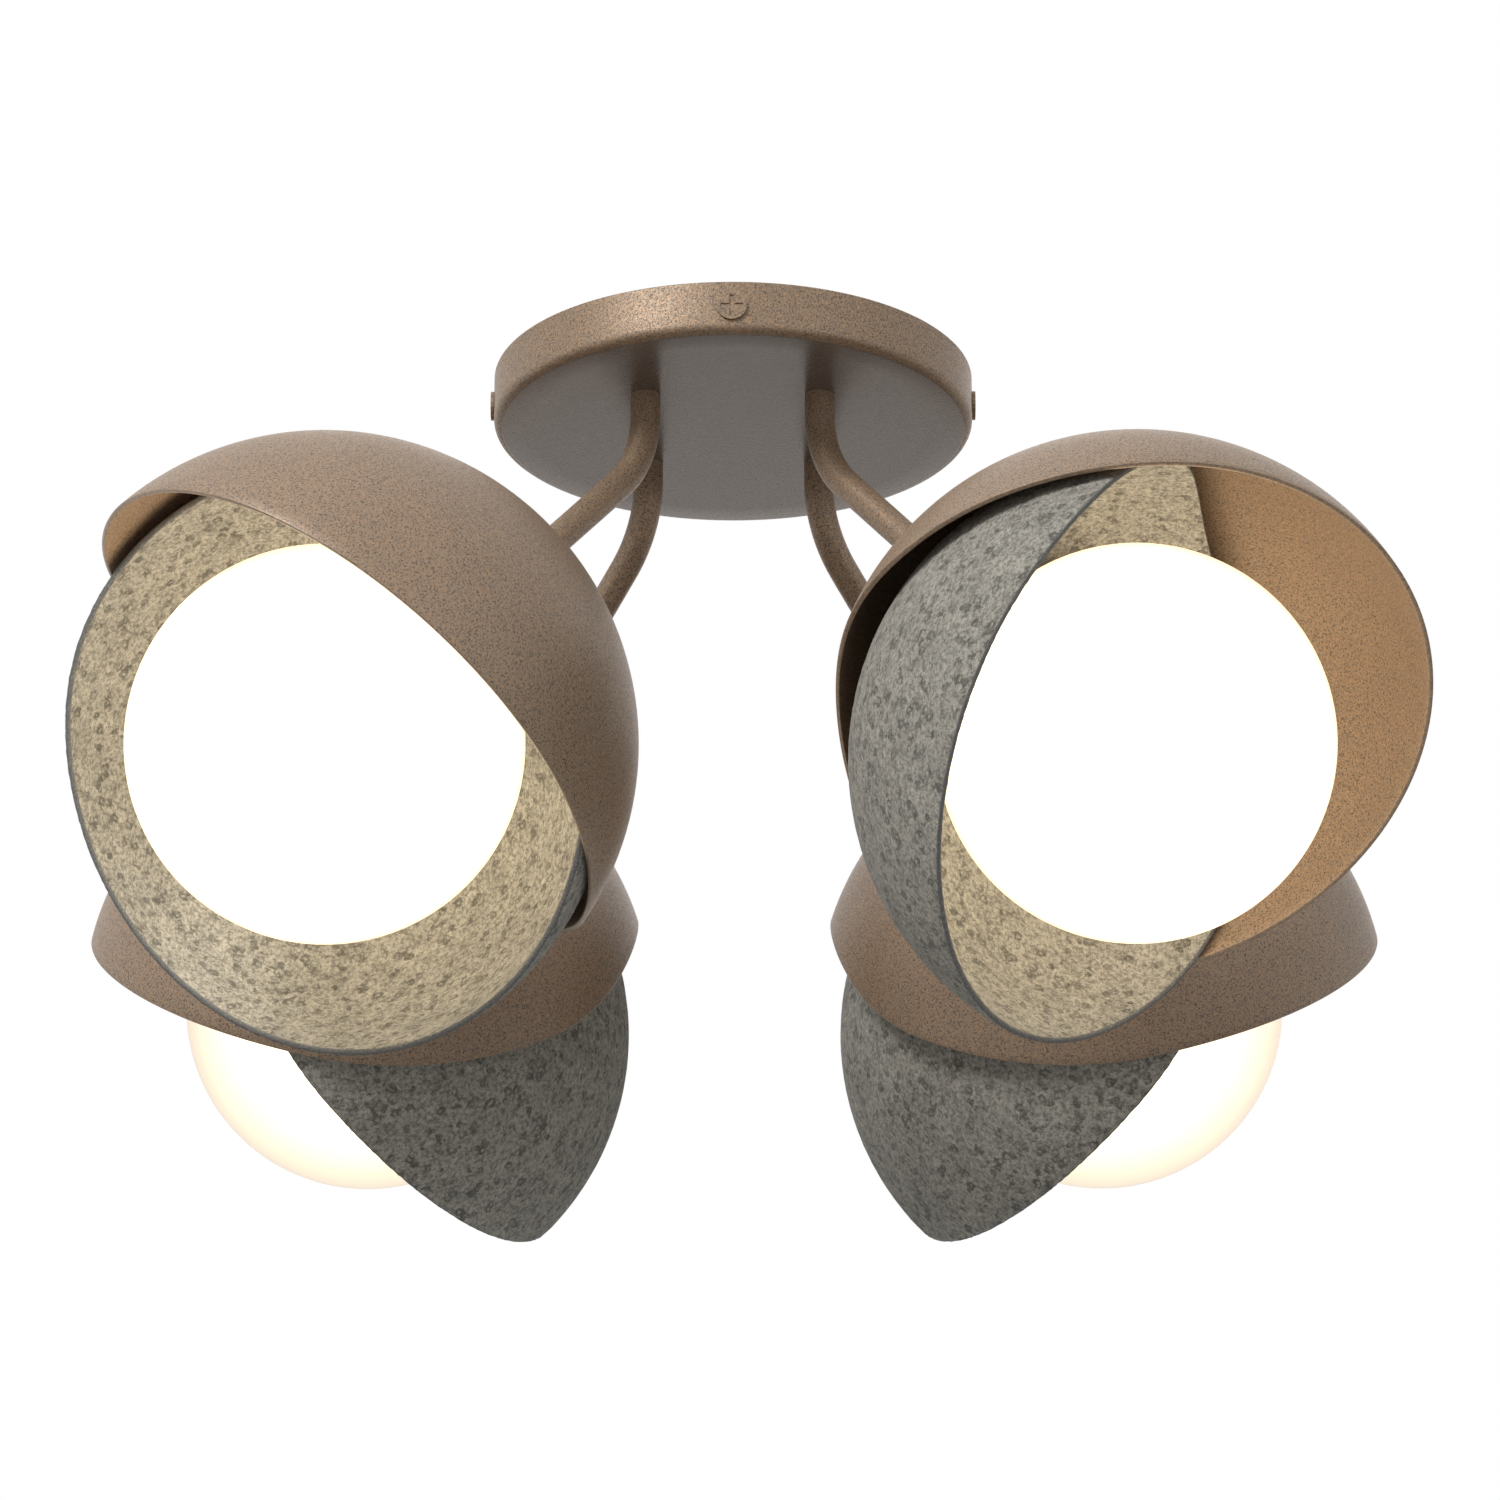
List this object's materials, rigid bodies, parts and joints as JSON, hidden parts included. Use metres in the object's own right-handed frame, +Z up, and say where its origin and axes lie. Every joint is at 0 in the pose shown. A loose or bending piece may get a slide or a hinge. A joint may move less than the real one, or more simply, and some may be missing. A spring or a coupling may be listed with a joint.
{
  "type": "semi flush ceiling light",
  "caption": "Semi flush ceiling light: bent arms carry glowing globes, each nested in a bronze bowl and a felt bowl that turn about the arm",
  "frame": {"origin": "middle of the ceiling face, between the slots for the ceiling box screws", "axes": "+Z up into the ceiling, +X right along the wide screw spacing, +Y away from the pictured front"},
  "size_m": [0.5656, 0.5563, 0.343],
  "materials": {
    "bronze_speckled": "brown bronze powder coat with fine dark speckle, satin",
    "spun_bronze": "spun bowl in the same brown bronze powder coat with fine dark speckle",
    "bronze_smooth": "smooth brown bronze lacquer, soft sheen",
    "felt": "thick pressed wool felt, grey-beige with darker round flecks",
    "opal_glass": "blown opal glass, lit",
    "bulb_glass": "frosted bulb",
    "white_plastic": "moulded lampholder",
    "brass_parts": "plain brass thread",
    "zinc": "zinc plated steel",
    "earth_green": "green earth screw",
    "friction_rubber": "friction washer and globe ring"
  },
  "bodies": {
    "root": {"canopy": "bronze_smooth", "mounting_plate": "zinc", "canopy_screws": "bronze_smooth", "earth_screw": "earth_green", "canopy_nipples": "brass_parts", "canopy_washers": "zinc", "canopy_locknuts": "brass_parts", "head_nipples": "brass_parts", "friction_washers": "friction_rubber", "shade_spacers": "zinc", "head_locknuts": "brass_parts", "globe_gaskets": "friction_rubber", "grip_screws": "zinc", "socket_shells": "brass_parts", "arm_front_left": "bronze_speckled", "arm_front_right": "bronze_speckled", "arm_back_left": "bronze_speckled", "arm_back_right": "bronze_speckled", "globe_holder_front_left": "bronze_speckled", "globe_holder_front_right": "bronze_speckled", "globe_holder_back_left": "bronze_speckled", "globe_holder_back_right": "bronze_speckled", "lampholder_front_left": "white_plastic", "lampholder_front_right": "white_plastic", "lampholder_back_left": "white_plastic", "lampholder_back_right": "white_plastic", "bulb_front_left": "bulb_glass", "bulb_front_right": "bulb_glass", "bulb_back_left": "bulb_glass", "bulb_back_right": "bulb_glass", "globe_front_left": "opal_glass", "globe_front_right": "opal_glass", "globe_back_left": "opal_glass", "globe_back_right": "opal_glass"},
    "outer_front_left": {"outer_shade_front_left": "spun_bronze"},
    "inner_front_left": {"inner_shade_front_left": "felt", "inner_hub_front_left": "zinc", "hub_ring_front_left": "zinc"},
    "outer_front_right": {"outer_shade_front_right": "spun_bronze"},
    "inner_front_right": {"inner_shade_front_right": "felt", "inner_hub_front_right": "zinc", "hub_ring_front_right": "zinc"},
    "outer_back_left": {"outer_shade_back_left": "spun_bronze"},
    "inner_back_left": {"inner_shade_back_left": "felt", "inner_hub_back_left": "zinc", "hub_ring_back_left": "zinc"},
    "outer_back_right": {"outer_shade_back_right": "spun_bronze"},
    "inner_back_right": {"inner_shade_back_right": "felt", "inner_hub_back_right": "zinc", "hub_ring_back_right": "zinc"}
  },
  "joints": [
    {"name": "inner_turn_front_left", "type": "hinge", "parent": "root", "child": "inner_front_left", "pos_m": [-0.10908, -0.10908, -0.15526], "axis": [-0.5, -0.5, -0.7071], "continuous": true},
    {"name": "outer_turn_front_left", "type": "hinge", "parent": "inner_front_left", "child": "outer_front_left", "pos_m": [-0.10013, -0.10013, -0.1426], "axis": [-0.5, -0.5, -0.7071], "range_deg": [-16, 64]},
    {"name": "inner_turn_front_right", "type": "hinge", "parent": "root", "child": "inner_front_right", "pos_m": [0.10908, -0.10908, -0.15526], "axis": [0.5, -0.5, -0.7071], "continuous": true},
    {"name": "outer_turn_front_right", "type": "hinge", "parent": "inner_front_right", "child": "outer_front_right", "pos_m": [0.10013, -0.10013, -0.1426], "axis": [0.5, -0.5, -0.7071], "range_deg": [-26.5, 53.5]},
    {"name": "inner_turn_back_left", "type": "hinge", "parent": "root", "child": "inner_back_left", "pos_m": [-0.10908, 0.10908, -0.15526], "axis": [-0.5, 0.5, -0.7071], "continuous": true},
    {"name": "outer_turn_back_left", "type": "hinge", "parent": "inner_back_left", "child": "outer_back_left", "pos_m": [-0.10013, 0.10013, -0.1426], "axis": [-0.5, 0.5, -0.7071], "range_deg": [-25, 55]},
    {"name": "inner_turn_back_right", "type": "hinge", "parent": "root", "child": "inner_back_right", "pos_m": [0.10908, 0.10908, -0.15526], "axis": [0.5, 0.5, -0.7071], "continuous": true},
    {"name": "outer_turn_back_right", "type": "hinge", "parent": "inner_back_right", "child": "outer_back_right", "pos_m": [0.10013, 0.10013, -0.1426], "axis": [0.5, 0.5, -0.7071], "range_deg": [-55, 25]}
  ]
}
